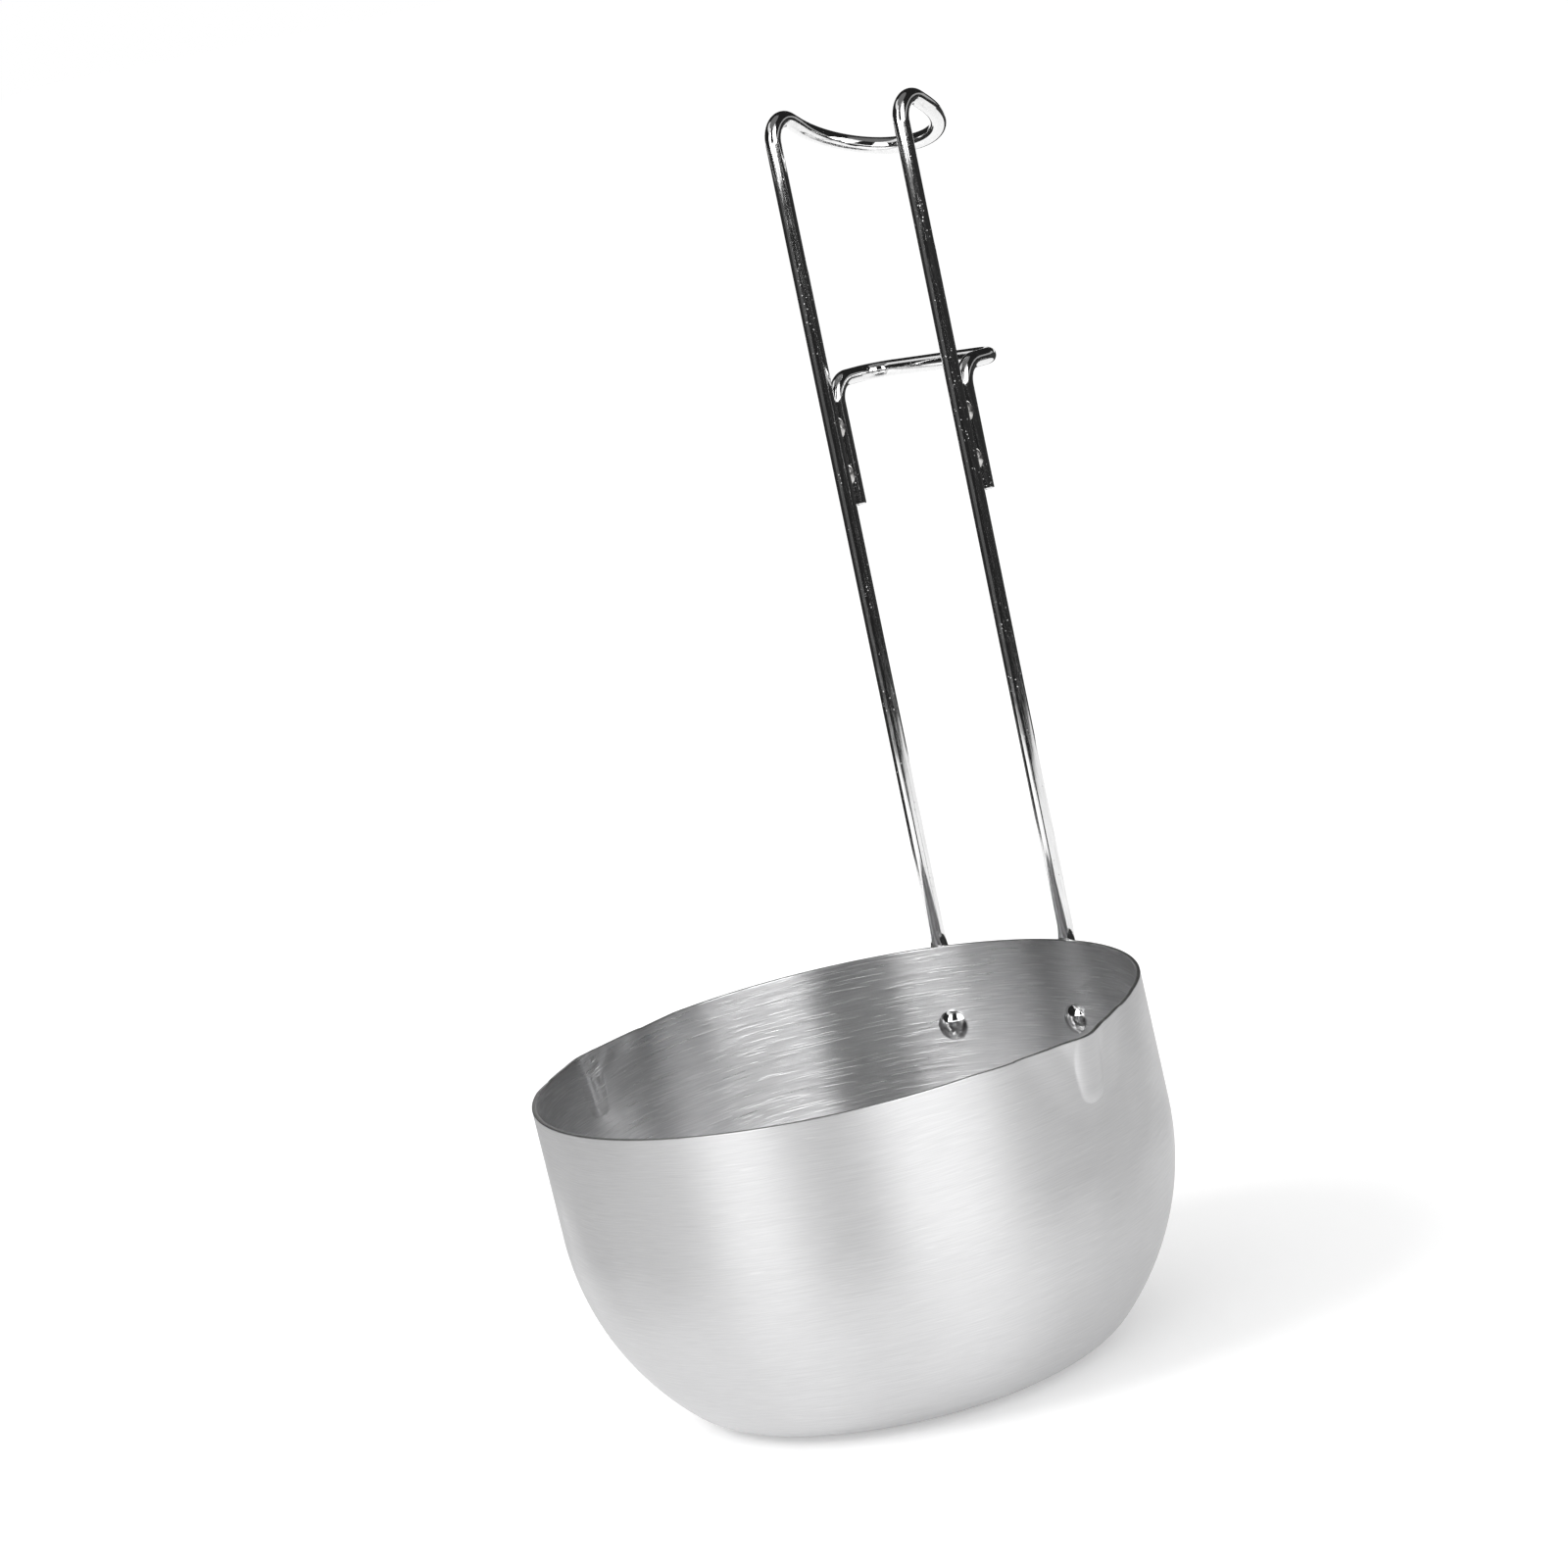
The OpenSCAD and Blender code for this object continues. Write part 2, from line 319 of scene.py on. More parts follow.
bowl = makeBowl()
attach(bowl, "root")
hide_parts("bowl")
print("ladle: bowl", len(bowl.data.polygons), "faces")


# the handle wire, bent from one length of round wire
handleShape = {
    "height": 158 * mm,
    "drop": radians(33.5),
    "bendRadius": 4 * mm,
    "arm": 2 * mm,
    "roundShare": 0.97,
    "legSteps": 16,
}

# the bends and edges of both wires
wireSteps = {
    "straight": 2,
    "roundEnd": 24,
    "topBend": 22,
    "cutEdge": 3,
    "sharpAngle": radians(40),
}

# the flattened, riveted ends of the handle wire
tabShape = {
    "thickness": 1.2 * mm,
    "flatBelowRim": 5 * mm,
    "endShare": 1.15,
    "flatRate": 2,
    "flattenSteps": 16,
    "flatSteps": 4,
    "tipSteps": 8,
    "tipTurn": radians(80),
}


# half of a hook, drawn from the middle of its closed end back over the top and down to its foot
def bendHalfHook(name, foot, corner, shape):
    radius, halfGap = shape["bendRadius"], ladle["legGap"] / 2
    turn = pi / 2 + shape["drop"] - ladle["legLean"]
    armWay = Vector((0, cos(shape["drop"]), -sin(shape["drop"])))
    reach = radius * tan(turn / 2)
    roundRadius = halfGap * shape["roundShare"]
    armStart = corner + armWay * reach
    armEnd = armStart + armWay * shape["arm"]
    middle = armEnd + armWay * roundRadius
    middle.x = 0
    deselectAll()
    bpy.ops.mesh.primitive_circle_add(
        vertices=ladle["wireSides"], radius=ladle["wireRadius"], fill_type="NOTHING",
        location=middle, rotation=(0, pi / 2, 0),
    )
    wire = nameNewPiece(name)
    bpy.ops.object.transform_apply(location=True, rotation=True)
    bpy.ops.object.mode_set(mode="EDIT")
    extrudeBy(xAxis * (halfGap - roundRadius), wireSteps["straight"])
    bpy.ops.mesh.spin(
        steps=wireSteps["roundEnd"], angle=-pi / 2,
        center=armEnd - xAxis * roundRadius, axis=armWay.cross(xAxis),
    )
    extrudeBy(armStart - armEnd, wireSteps["straight"])
    bpy.ops.mesh.spin(
        steps=wireSteps["topBend"], angle=-turn,
        center=corner - legUp * reach + legOut * radius, axis=xAxis,
    )
    extrudeBy(foot - corner + legUp * reach, shape["legSteps"])
    return wire


def closeHook(wire):
    applyModifier(wire, "MIRROR", use_axis=(True, False, False), merge_threshold=slightStep)
    bpy.ops.object.mode_set(mode="EDIT")
    bpy.ops.mesh.select_all(action="SELECT")
    bpy.ops.mesh.normals_make_consistent(inside=False)
    bpy.ops.object.mode_set(mode="OBJECT")
    smoothPiece(wire, wireSteps["sharpAngle"])


# the flattened section keeps the round wire's area
def halfWidthWhenFlat(halfThickness):
    area = pi * (ladle["wireRadius"] ** 2 - halfThickness ** 2)
    return halfThickness + area / (4 * halfThickness)


# the place of a point at angle q round a flattened section that is wrapped on to the bowl's wall
def tabPoint(q, height, halfWidth, halfThickness, turn):
    flat = max(-1, min(1, tabShape["flatRate"] * cos(q)))
    x = (halfWidth - halfThickness) * flat + halfThickness * cos(q)
    y = halfThickness * sin(q)
    across, out = x * cos(turn) - y * sin(turn), x * sin(turn) + y * cos(turn)
    radius = ladle["rimRadius"] + ladle["seatGap"] + halfThickness + out
    angle = tabAngle + across / radius
    return Vector((radius * sin(angle), radius * cos(angle), height))


# heights, half widths, half thicknesses and turns of the rings from the round foot to the tip
def tabRings():
    wire, thin = ladle["wireRadius"], tabShape["thickness"] / 2
    wide = halfWidthWhenFlat(thin)
    top = ladle["bowlHeight"] + ladle["footAboveRim"]
    flatTop = ladle["bowlHeight"] - tabShape["flatBelowRim"]
    tipHeight = rivetHeight - wide * tabShape["endShare"]
    rings = []
    for i in range(1, tabShape["flattenSteps"] + 1):
        share = i / tabShape["flattenSteps"]
        ease = 1 - share * share * (3 - 2 * share)
        thick = thin + (wire - thin) * ease
        height = top + (flatTop - top) * share
        rings.append((height, halfWidthWhenFlat(thick), thick, tabAngle * ease))
    for i in range(1, tabShape["flatSteps"]):
        height = flatTop + (tipHeight + wide - flatTop) * i / tabShape["flatSteps"]
        rings.append((height, wide, thin, 0))
    for i in range(tabShape["tipSteps"] + 1):
        turn = tabShape["tipTurn"] * i / tabShape["tipSteps"]
        height = tipHeight + wide * (1 - sin(turn))
        rings.append((height, thin + (wide - thin) * cos(turn), thin, 0))
    return rings


# extrudes the wire's end ring by ring and presses each new ring to the tab's section
def flattenEnd(wire):
    levelWay = Vector((1, 0))
    lastHeight, lastTurn = legFoot.z, tabAngle
    ringAngles = None
    for height, halfWidth, halfThickness, turn in tabRings():
        extrudeBy(zAxis * (height - lastHeight))
        mesh = bmesh.from_edit_mesh(wire.data)
        ring = [v for v in mesh.verts if v.select]
        if ringAngles is None:
            ring.sort(key=lambda v: (v.co - legFoot).xy.angle_signed(levelWay))
            ringAngles = [(v.co - legFoot).xy.angle_signed(levelWay) for v in ring]
        else:
            middle = sum((v.co for v in ring), Vector()) / ladle["wireSides"]
            turnBack = Matrix.Rotation(tabAngle - lastTurn, 2)
            ring.sort(key=lambda v: (turnBack @ (v.co - middle).xy).angle_signed(levelWay))
        for vertex, q in zip(ring, ringAngles):
            vertex.co = tabPoint(q, height, halfWidth, halfThickness, turn)
        bmesh.update_edit_mesh(wire.data)
        lastHeight, lastTurn = height, turn
    bpy.ops.mesh.edge_face_add()


def makeHandle():
    corner = legFoot + legUp * (handleShape["height"] - ladle["footAboveRim"]) / legUp.z
    wire = bendHalfHook("handleWire", legFoot, corner, handleShape)
    flattenEnd(wire)
    closeHook(wire)
    return wire


# the pot hook, a short length of the same wire behind the handle's legs
potHookShape = {
    "height": 106.4 * mm,
    "leg": 23.3 * mm,
    "drop": radians(4),
    "bendRadius": 4 * mm,
    "arm": 3 * mm,
    "roundShare": 0.35,
    "weldGap": 0.1 * mm,
    "cutEdge": 0.25 * mm,
    "cutBand": 0.5 * mm,
    "legSteps": 3,
}

potHookOut = legOut * (2 * ladle["wireRadius"] + potHookShape["weldGap"])
potHookCorner = legFoot + potHookOut
potHookCorner += legUp * (potHookShape["height"] - ladle["footAboveRim"]) / legUp.z
potHookFoot = potHookCorner - legUp * potHookShape["leg"]


def makePotHook():
    band = legUp * potHookShape["cutBand"]
    wire = bendHalfHook("potHookWire", potHookFoot + band, potHookCorner, potHookShape)
    extrudeBy(-band)
    bpy.ops.mesh.edge_face_add()
    bpy.ops.mesh.bevel(
        offset=potHookShape["cutEdge"], segments=wireSteps["cutEdge"], affect="EDGES"
    )
    closeHook(wire)
    return wire


handle = makeHandle()
potHook = makePotHook()
for wire, node in ((handle, "handle_wire"), (potHook, "pot_hook")):
    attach(wire, "root")
    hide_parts(node)
print("ladle: wires", len(handle.data.polygons), len(potHook.data.polygons), "faces")


# the two rivets: a domed head inside the bowl and an upset tail outside
rivetShape = {
    "headRadius": 2.8 * mm,
    "headHeight": 1.6 * mm,
    "headEdge": 0.4 * mm,
    "headSunk": 0.07 * mm,
    "edgeRound": 0.12 * mm,
    "shankRadius": 1.5 * mm,
    "tailRadius": 2.5 * mm,
    "tailHeight": 0.9 * mm,
    "domeSteps": 12,
    "roundSteps": 64,
    "sharpAngle": radians(35),
}


# radius and height points of a dome, from its top to its foot
def domePoints(radius, rise, top, way):
    domeRadius = (radius ** 2 + rise ** 2) / (2 * rise)
    widest = asin(radius / domeRadius)
    steps = rivetShape["domeSteps"]
    points = []
    for i in range(steps + 1):
        turn = widest * i / steps
        points.append((domeRadius * sin(turn), top + way * domeRadius * (1 - cos(turn))))
    return points


# the rivet stands on its head here, with its length along Z
def rivetProfile():
    seat = ladle["rimRadius"] - ladle["sheet"]
    tailFoot = ladle["rimRadius"] + ladle["seatGap"] + tabShape["thickness"]
    head, height, edge = rivetShape["headRadius"], rivetShape["headHeight"], rivetShape["headEdge"]
    soft, sunk = rivetShape["edgeRound"], rivetShape["headSunk"]
    shank, tail, rise = (rivetShape[key] for key in ("shankRadius", "tailRadius", "tailHeight"))
    points = domePoints(head - soft, height - edge - soft / 2, seat - height, 1)
    points += [(head - soft / 4, seat - edge + soft / 4), (head, seat - edge + soft)]
    points += [(head, seat + sunk), (shank, seat + sunk)]
    points += [(shank, tailFoot - sunk), (tail, tailFoot - sunk)]
    return points + domePoints(tail, rise, tailFoot + rise, -1)[::-1]


def makeRivets():
    first = spinProfile("rivetRight", rivetProfile(), rivetShape["roundSteps"])
    second = first.copy()
    second.data = first.data.copy()
    second.name = second.data.name = "rivetLeft"
    bpy.context.collection.objects.link(second)
    for rivet, side in ((first, 1), (second, -1)):
        rivet.rotation_euler = (-pi / 2, 0, -side * tabAngle)
        rivet.location = (0, 0, rivetHeight)
        selectOnly(rivet)
        bpy.ops.object.transform_apply(location=True, rotation=True)
        smoothPiece(rivet, rivetShape["sharpAngle"])
    return first, second


rivets = makeRivets()
for rivet, node in zip(rivets, ("rivet_right", "rivet_left")):
    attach(rivet, "root")
    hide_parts(node)
print("ladle: rivets", len(rivets[0].data.polygons), "faces each")


# spot welds in the grooves between the two wires
weldShape = {
    "count": 2,
    "start": 6 * mm,
    "pitch": 8.8 * mm,
    "length": 4 * mm,
    "thickness": 2.8 * mm,
    "lumpSize": 0.9 * mm,
    "lumpHeight": 0.22 * mm,
    "lumpMiddle": 0.6,
    "sides": 32,
    "rings": 20,
    "sharpAngle": radians(60),
}


def makeWeldBeads():
    beads = []
    middle = potHookFoot - potHookOut / 2
    for side in (-1, 1):
        for i in range(weldShape["count"]):
            place = middle + legUp * (weldShape["start"] + i * weldShape["pitch"])
            place.x *= side
            deselectAll()
            bpy.ops.mesh.primitive_uv_sphere_add(
                segments=weldShape["sides"], ring_count=weldShape["rings"],
                radius=weldShape["thickness"] / 2,
                location=place, rotation=(-ladle["legLean"], 0, 0),
            )
            bead = bpy.context.object
            bead.scale.z = weldShape["length"] / weldShape["thickness"]
            bpy.ops.object.transform_apply(location=True, rotation=True, scale=True)
            beads.append(bead)
    deselectAll()
    for bead in beads:
        bead.select_set(True)
    bpy.context.view_layer.objects.active = beads[0]
    bpy.ops.object.join()
    piece = nameNewPiece("weldBeads")
    lumps = bpy.data.textures.new("weldLumps", "CLOUDS")
    lumps.noise_scale = weldShape["lumpSize"]
    applyModifier(
        piece, "DISPLACE", texture=lumps, texture_coords="GLOBAL",
        strength=weldShape["lumpHeight"], mid_level=weldShape["lumpMiddle"],
    )
    smoothPiece(piece, weldShape["sharpAngle"])
    return piece


welds = makeWeldBeads()
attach(welds, "root")
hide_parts("hook_welds")
print("ladle: weld beads", len(welds.data.polygons), "faces")


# adds a shader node, sets its inputs or links them, and gives it back
def addNode(tree, kind, inputs=None, **settings):
    made = tree.nodes.new("ShaderNode" + kind)
    for key, value in settings.items():
        setattr(made, key, value)
    for key, value in (inputs or {}).items():
        if isinstance(value, bpy.types.NodeSocket):
            tree.links.new(value, made.inputs[key])
        else:
            made.inputs[key].default_value = value
    return made


def addNoise(tree, place, size, detail):
    inputs = {"Vector": place, "Scale": 1 / size, "Detail": detail}
    return addNode(tree, "TexNoise", inputs).outputs["Fac"]


def addMath(tree, operation, *values):
    return addNode(tree, "Math", dict(enumerate(values)), operation=operation).outputs[0]


# brings a value from one range to another and keeps it inside
def addRange(tree, value, source=(0, 1), target=(0, 1)):
    inputs = {
        "Value": value,
        "From Min": source[0], "From Max": source[1],
        "To Min": target[0], "To Max": target[1],
    }
    return addNode(tree, "MapRange", inputs).outputs["Result"]


# a mix node's own inputs 2 and 3 are its two plain numbers
def mixValues(tree, share, first, second):
    return addNode(tree, "Mix", {"Factor": share, 2: first, 3: second}).outputs[0]


noiseSpread = (0.3, 0.7)  # nearly all of a noise lies between these


def startMetal(name, finish):
    material = bpy.data.materials.new(name)
    material.use_nodes = True
    tree = material.node_tree
    shader = tree.nodes["Principled BSDF"]
    shader.inputs["Metallic"].default_value = 1
    shader.inputs["Anisotropic"].default_value = finish.get("anisotropy", 0)
    shader.inputs["Anisotropic Rotation"].default_value = finish.get("anisotropyTurn", 0)
    place = addNode(tree, "TexCoord").outputs["Object"]
    return material, tree, shader, place


# gives the metal its colour, from dark to light, its roughness and its relief
def finishMetal(tree, shader, finish, tint, rough, height):
    mix = addNode(tree, "Mix", {"Factor": tint}, data_type="RGBA")
    mix.inputs[6].default_value = (*finish["dark"], 1)  # inputs 6 and 7 are its colours
    mix.inputs[7].default_value = (*finish["light"], 1)
    tree.links.new(mix.outputs[2], shader.inputs["Base Color"])
    tree.links.new(rough, shader.inputs["Roughness"])
    bump = addNode(
        tree, "Bump",
        {"Strength": finish["bump"], "Distance": finish["bumpHeight"], "Height": height},
    )
    tree.links.new(bump.outputs[0], shader.inputs["Normal"])


# the outside is brushed fine, the inside coarser
outsideFinish = {
    "dark": (0.61, 0.61, 0.615),
    "light": (0.72, 0.72, 0.725),
    "roughness": (0.42, 0.52),
    "anisotropy": 0.8,
    "anisotropyTurn": 0.25,
    "finePitch": 0.13 * mm,
    "fineTurns": 9,
    "streakPitch": 0.3 * mm,
    "streakTurns": 7,
    "streakShare": 0.4,
    "scratchPitch": 0.3 * mm,
    "scratchTurns": 9,
    "scratchFrom": 0.68,
    "scratchLift": 0.25,
    "driftSize": 16 * mm,
    "drift": 1 * mm,
    "smudgeSize": 18 * mm,
    "smudgeShare": 0.6,
    "bump": 0.4,
    "bumpHeight": 0.015 * mm,
}

insideFinish = {
    "dark": (0.62, 0.62, 0.625),
    "light": (0.83, 0.83, 0.835),
    "roughness": (0.24, 0.38),
    "anisotropy": 0.95,
    "anisotropyTurn": 0.25,
    "finePitch": 0.2 * mm,
    "fineTurns": 6,
    "streakPitch": 0.4 * mm,
    "streakTurns": 5,
    "streakShare": 0.6,
    "scratchPitch": 0.34 * mm,
    "scratchTurns": 6,
    "scratchFrom": 0.6,
    "scratchLift": 0.5,
    "driftSize": 22 * mm,
    "drift": 1.2 * mm,
    "smudgeSize": 22 * mm,
    "smudgeShare": 0.3,
    "bump": 1,
    "bumpHeight": 0.04 * mm,
}

# what both sides share: the detail of each kind of line, drift and smudge, and the lines' edges
brushing = {
    "detail": {"fine": 2, "streak": 3, "scratch": 1},
    "lineRoughness": 0.6,
    "scratchEdge": 0.08,
    "driftDetail": 0,
    "smudgeDetail": 3,
}


# brush lines run round the bowl: noise is drawn out along the turn and packed along the profile
def brushNoise(tree, around, along, pitch, turns, detail):
    turned = addNode(tree, "VectorMath", {0: around, "Scale": turns}, operation="SCALE")
    packed = addMath(tree, "MULTIPLY", along, 1 / pitch)
    lifted = addNode(tree, "CombineXYZ", {"Z": packed})
    spot = addNode(tree, "VectorMath", {0: turned.outputs[0], 1: lifted.outputs[0]})
    inputs = {
        "Vector": spot.outputs[0], "Scale": 1,
        "Detail": detail, "Roughness": brushing["lineRoughness"],
    }
    return addNode(tree, "TexNoise", inputs).outputs["Fac"]


def makeBrushedSteel(name, finish):
    material, tree, shader, place = startMetal(name, finish)
    xyz = addNode(tree, "SeparateXYZ", {0: place})
    level = addNode(tree, "CombineXYZ", {"X": xyz.outputs["X"], "Y": xyz.outputs["Y"]}).outputs[0]
    radius = addNode(tree, "VectorMath", {0: level}, operation="LENGTH").outputs["Value"]
    around = addNode(tree, "VectorMath", {0: level}, operation="NORMALIZE").outputs[0]
    profile = addMath(tree, "ADD", xyz.outputs["Z"], radius)
    wander = addNoise(tree, place, finish["driftSize"], brushing["driftDetail"])
    along = addMath(tree, "MULTIPLY_ADD", wander, finish["drift"], profile)
    fine, streak, scratch = (
        brushNoise(tree, around, along, finish[kind + "Pitch"], finish[kind + "Turns"], detail)
        for kind, detail in brushing["detail"].items()
    )
    scratchFrom = finish["scratchFrom"]
    cut = (scratchFrom, scratchFrom + brushing["scratchEdge"])
    bright = addRange(tree, scratch, cut, (0, finish["scratchLift"]))
    smudge = addNoise(tree, place, finish["smudgeSize"], brushing["smudgeDetail"])
    lines = mixValues(tree, finish["streakShare"], fine, streak)
    worn = addMath(tree, "ADD", lines, bright)
    patch = mixValues(tree, finish["smudgeShare"], lines, smudge)
    tint = addRange(tree, worn, noiseSpread)
    rough = addRange(tree, patch, noiseSpread, finish["roughness"])
    finishMetal(tree, shader, finish, tint, rough, worn)
    return material


# drawn and polished, with small pits that stay rough and catch the light
polishedWire = {
    "dark": (0.66, 0.66, 0.66),
    "light": (0.79, 0.79, 0.79),
    "roughness": (0.05, 0.12),
    "roughSpread": (0.35, 0.75),
    "pitGap": 0.8 * mm,
    "pitReach": (0.1, 0.2),
    "pitRough": 0.42,
    "pitPatch": 7 * mm,
    "pitPatchSpread": (0.45, 0.6),
    "waveSize": 6 * mm,
    "waveShare": 0.8,
    "waveDetail": 1,
    "grainSize": 0.25 * mm,
    "grainDetail": 2,
    "drawnOut": (1, 1, 0.06),
    "bump": 0.4,
    "bumpHeight": 0.02 * mm,
}


def makePolishedWire(name, finish):
    material, tree, shader, place = startMetal(name, finish)
    cell = addNode(tree, "TexVoronoi", {"Vector": place, "Scale": 1 / finish["pitGap"]})
    dot = addRange(tree, cell.outputs["Distance"], finish["pitReach"], (1, 0))
    patch = addNoise(tree, place, finish["pitPatch"], finish["waveDetail"])
    worn = addRange(tree, patch, finish["pitPatchSpread"])
    pit = addMath(tree, "MULTIPLY", dot, worn)
    drawn = addNode(tree, "Mapping", {"Vector": place, "Scale": finish["drawnOut"]}).outputs[0]
    grain = addNoise(tree, drawn, finish["grainSize"], finish["grainDetail"])
    wave = addNoise(tree, place, finish["waveSize"], finish["waveDetail"])
    polish = addRange(tree, grain, finish["roughSpread"], finish["roughness"])
    rough = mixValues(tree, pit, polish, finish["pitRough"])
    height = mixValues(tree, finish["waveShare"], grain, wave)
    finishMetal(tree, shader, finish, addRange(tree, grain, noiseSpread), rough, height)
    return material


# the sheet's cut edge round the rim, the faces near the top that look up: painted shade, a dark
# colour so that the rim shows no light line
edgeShadeFinish = {
    "dark": (0.4, 0.4, 0.4),
    "light": (0.54, 0.54, 0.54),
    "roughness": (0.3, 0.5),
    "grainSize": 0.7 * mm,
    "grainDetail": 4,
    "bump": 0.3,
    "bumpHeight": 0.02 * mm,
    "belowRim": 2 * mm,
    "leastUp": 0.6,
}

weldMetal = {
    "dark": (0.42, 0.41, 0.40),
    "light": (0.72, 0.71, 0.70),
    "roughness": (0.18, 0.45),
    "grainSize": 0.5 * mm,
    "grainDetail": 4,
    "bump": 0.6,
    "bumpHeight": 0.05 * mm,
}


def makeGrainedMetal(name, finish):
    material, tree, shader, place = startMetal(name, finish)
    grain = addNoise(tree, place, finish["grainSize"], finish["grainDetail"])
    tint = addRange(tree, grain, noiseSpread)
    rough = addRange(tree, grain, target=finish["roughness"])
    finishMetal(tree, shader, finish, tint, rough, grain)
    return material


def dress(piece, *materials):
    piece.data.materials.clear()
    for material in materials:
        piece.data.materials.append(material)


# slot 2, the cut edge's painted shade, goes to the up-facing rim faces, and slot 1 to the inside,
# which looks towards the opening's middle
def dressBowl(bowl):
    dress(bowl, outsideSteel, insideSteel, edgeShadeSteel)
    middle = zAxis * ladle["bowlHeight"]
    edgeFrom = ladle["bowlHeight"] - edgeShadeFinish["belowRim"]
    for face in bowl.data.polygons:
        if face.normal.z > edgeShadeFinish["leastUp"] and face.center.z > edgeFrom:
            face.material_index = 2
        elif face.normal.dot(face.center - middle) < 0:
            face.material_index = 1


outsideSteel = makeBrushedSteel("satinOutside", outsideFinish)
insideSteel = makeBrushedSteel("brushedInside", insideFinish)
# the cut edge's material is painted shade: a dark metal on the rim's up-facing faces
edgeShadeSteel = makeGrainedMetal("cutEdge", edgeShadeFinish)
polishedSteel = makePolishedWire("polishedSteel", polishedWire)
weldedSteel = makeGrainedMetal("weldMetal", weldMetal)
dressBowl(bowl)
dress(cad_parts["bowl"], outsideSteel)
for name in ("handle_wire", "pot_hook", "rivet_left", "rivet_right"):
    dress(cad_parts[name], polishedSteel)
for piece in (handle, potHook, *rivets):
    dress(piece, polishedSteel)
for piece in (welds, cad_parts["hook_welds"]):
    dress(piece, weldedSteel)
print("ladle: finishes")


# where the photograph was taken from
photoView = {
    "azimuth": radians(38.644),
    "elevation": radians(10.749),
    "roll": radians(-13.223),
    "distance": 943.46 * mm,
    "aim": Vector((0, 0, 61.76 * mm)),
    "aside": -9.005 * mm,
    "above": 44.375 * mm,
    "focalLength": 122.74,
    "sensorWidth": 36,
    "nearest": 50 * mm,
    "farthest": 50,
}


def addCamera(view):
    azimuth, elevation, roll = view["azimuth"], view["elevation"], view["roll"]
    back = Vector((
        sin(azimuth) * cos(elevation), -cos(azimuth) * cos(elevation), sin(elevation)
    ))
    level = Vector((cos(azimuth), sin(azimuth), 0))
    upright = back.cross(level)
    right = level * cos(roll) + upright * sin(roll)
    up = upright * cos(roll) - level * sin(roll)
    place = view["aim"] + back * view["distance"] + right * view["aside"] + up * view["above"]
    data = bpy.data.cameras.new("photoCamera")
    data.lens = view["focalLength"]
    data.sensor_width = view["sensorWidth"]
    data.clip_start = view["nearest"]
    data.clip_end = view["farthest"]
    camera = bpy.data.objects.new("photoCamera", data)
    bpy.context.scene.collection.objects.link(camera)
    turn = Matrix((right, up, back)).transposed()
    camera.matrix_world = Matrix.Translation(place) @ turn.to_4x4()
    bpy.context.scene.camera = camera


addCamera(photoView)


studio = {
    "floorSize": 12,
    "floorBelow": 0.02 * mm,
    "floorColour": (0.82, 0.82, 0.82, 1),
    "floorRoughness": 0.9,
    "floorGlow": 0.27,
    "ambient": 0.9,
    "white": 1,
    "keyPower": 8.5,
    "keySize": 0.7,
    "keyPlace": (-0.5, -0.75, 0.95),
    "ceilingRadius": 0.62,
    "ceilingHeight": 1.3,
    "ceilingGlow": 0.2,
    "ceilingSides": 64,
    "cardSteps": 24,
}

# cards stand round the ladle, each with its turn in degrees from the camera's side to the
# right, its width in degrees, its distance, foot and top in metres, and its brightness
cards = {
    "lowFront": (-10, 50, 0.62, 0, 0.2, 0.02),
    "nearFront": (-7, 18, 0.35, 0.004, 0.14, 0.02),
    "lowLeft": (-60, 50, 0.62, 0.015, 0.23, 0.11),
    "lowRight": (80, 130, 0.62, 0, 0.23, 0.03),
    "lowBack": (-125, 80, 0.45, 0, 0.2, 0.03),
    "nearBack": (142, 60, 0.35, 0.04, 0.16, 0.05),
    "frontBounce": (-12, 40, 0.62, 0.2, 0.3, 1.4),
    "frontGap": (-12, 40, 0.62, 0.3, 1.3, 0.02),
    "leftSoftbox": (-46, 28, 0.62, 0.2, 0.85, 4.8),
    "rightSoftbox": (30, 44, 0.62, 0.2, 0.85, 4.8),
    "leftGap": (-99, 78, 0.62, 0.2, 0.8, 0.02),
    "rightBounce": (94, 84, 0.62, 0.2, 0.33, 0.45),
    "rightGap": (94, 84, 0.62, 0.33, 1.3, 0.02),
    "backGap": (179, 86, 0.62, 0.22, 1.3, 0.02),
}
white = (1, 1, 1, 1)


# 1 for the rays that show the background: straight from the camera, mirrored or let through
def backgroundRay(tree):
    rays = addNode(tree, "LightPath").outputs
    seen = addMath(tree, "MAXIMUM", rays["Is Camera Ray"], rays["Is Glossy Ray"])
    return addMath(tree, "MAXIMUM", seen, rays["Is Transmission Ray"])


def addFloor():
    deselectAll()
    place = (0, 0, -studio["floorBelow"])
    bpy.ops.mesh.primitive_plane_add(size=studio["floorSize"], location=place)
    floor = nameNewPiece("floor")
    material = bpy.data.materials.new("floorWhite")
    material.use_nodes = True
    tree = material.node_tree
    shader = tree.nodes["Principled BSDF"]
    shader.inputs["Base Color"].default_value = studio["floorColour"]
    shader.inputs["Roughness"].default_value = studio["floorRoughness"]
    shader.inputs["Specular IOR Level"].default_value = 0
    shader.inputs["Emission Color"].default_value = white
    glow = addMath(tree, "MULTIPLY", backgroundRay(tree), studio["floorGlow"])
    tree.links.new(glow, shader.inputs["Emission Strength"])
    dress(floor, material)


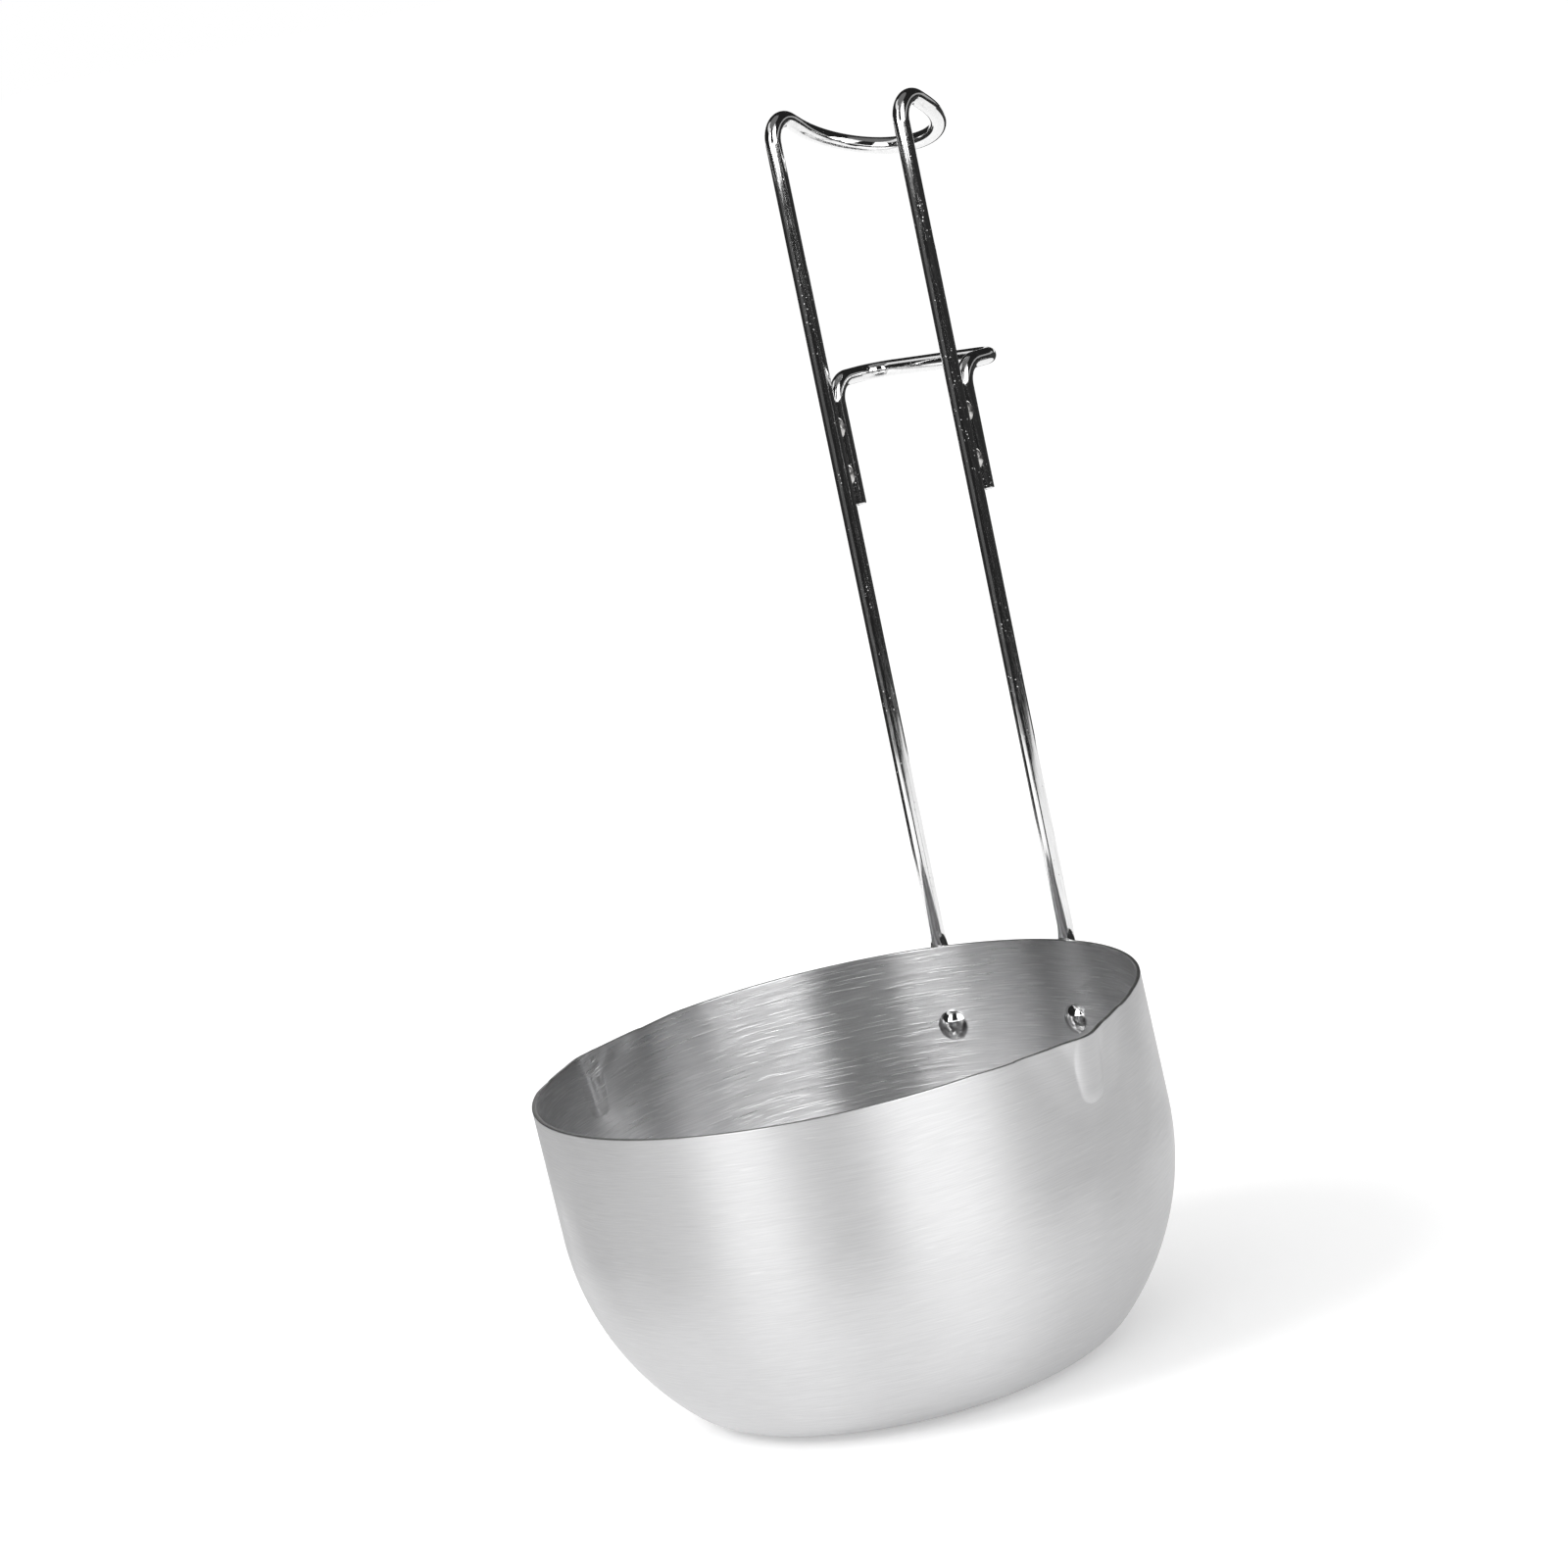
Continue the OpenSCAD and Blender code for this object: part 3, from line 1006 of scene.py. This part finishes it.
def lightWorld():
    world = bpy.data.worlds.new("studioWorld")
    bpy.context.scene.world = world
    world.use_nodes = True
    tree = world.node_tree
    levels = (studio["ambient"], studio["white"])
    strength = addRange(tree, backgroundRay(tree), target=levels)
    background = tree.nodes["Background"]
    background.inputs["Color"].default_value = white
    tree.links.new(strength, background.inputs["Strength"])


# a card shows in the metal only: not to the camera, and it lights and shades nothing
def makeCard(card, brightness):
    card.visible_camera = False
    card.visible_diffuse = False
    card.visible_shadow = False
    material = bpy.data.materials.new(card.name)
    material.use_nodes = True
    tree = material.node_tree
    glow = addNode(tree, "Emission", {"Color": white, "Strength": brightness})
    tree.links.new(glow.outputs[0], tree.nodes["Material Output"].inputs["Surface"])
    dress(card, material)


# the dark ceiling over the cards
def addCeiling():
    deselectAll()
    bpy.ops.mesh.primitive_circle_add(
        vertices=studio["ceilingSides"], radius=studio["ceilingRadius"], fill_type="NGON",
        location=(0, 0, studio["ceilingHeight"]),
    )
    makeCard(nameNewPiece("ceiling"), studio["ceilingGlow"])


def addCard(name, turn, width, distance, foot, top, brightness):
    start = photoView["azimuth"] + radians(turn) - radians(width) / 2
    card = startFromPoint(name, (distance * sin(start), -distance * cos(start), foot))
    extrudeBy(zAxis * (top - foot))
    bpy.ops.mesh.select_all(action="SELECT")
    bpy.ops.mesh.spin(
        steps=studio["cardSteps"], angle=-radians(width), center=(0, 0, 0), axis=zAxis
    )
    bpy.ops.object.mode_set(mode="OBJECT")
    makeCard(card, brightness)


def addKeyLight():
    data = bpy.data.lights.new("keyLight", "AREA")
    data.shape = "DISK"
    data.size = studio["keySize"]
    data.energy = studio["keyPower"]
    light = bpy.data.objects.new("keyLight", data)
    bpy.context.scene.collection.objects.link(light)
    light.location = studio["keyPlace"]
    light.rotation_euler = Vector(studio["keyPlace"]).to_track_quat("Z", "Y").to_euler()
    light.visible_glossy = False


addFloor()
lightWorld()
addKeyLight()
addCeiling()
for name, card in cards.items():
    addCard(name, *card)
bpy.context.scene.view_settings.view_transform = "Standard"
print("ladle: studio")
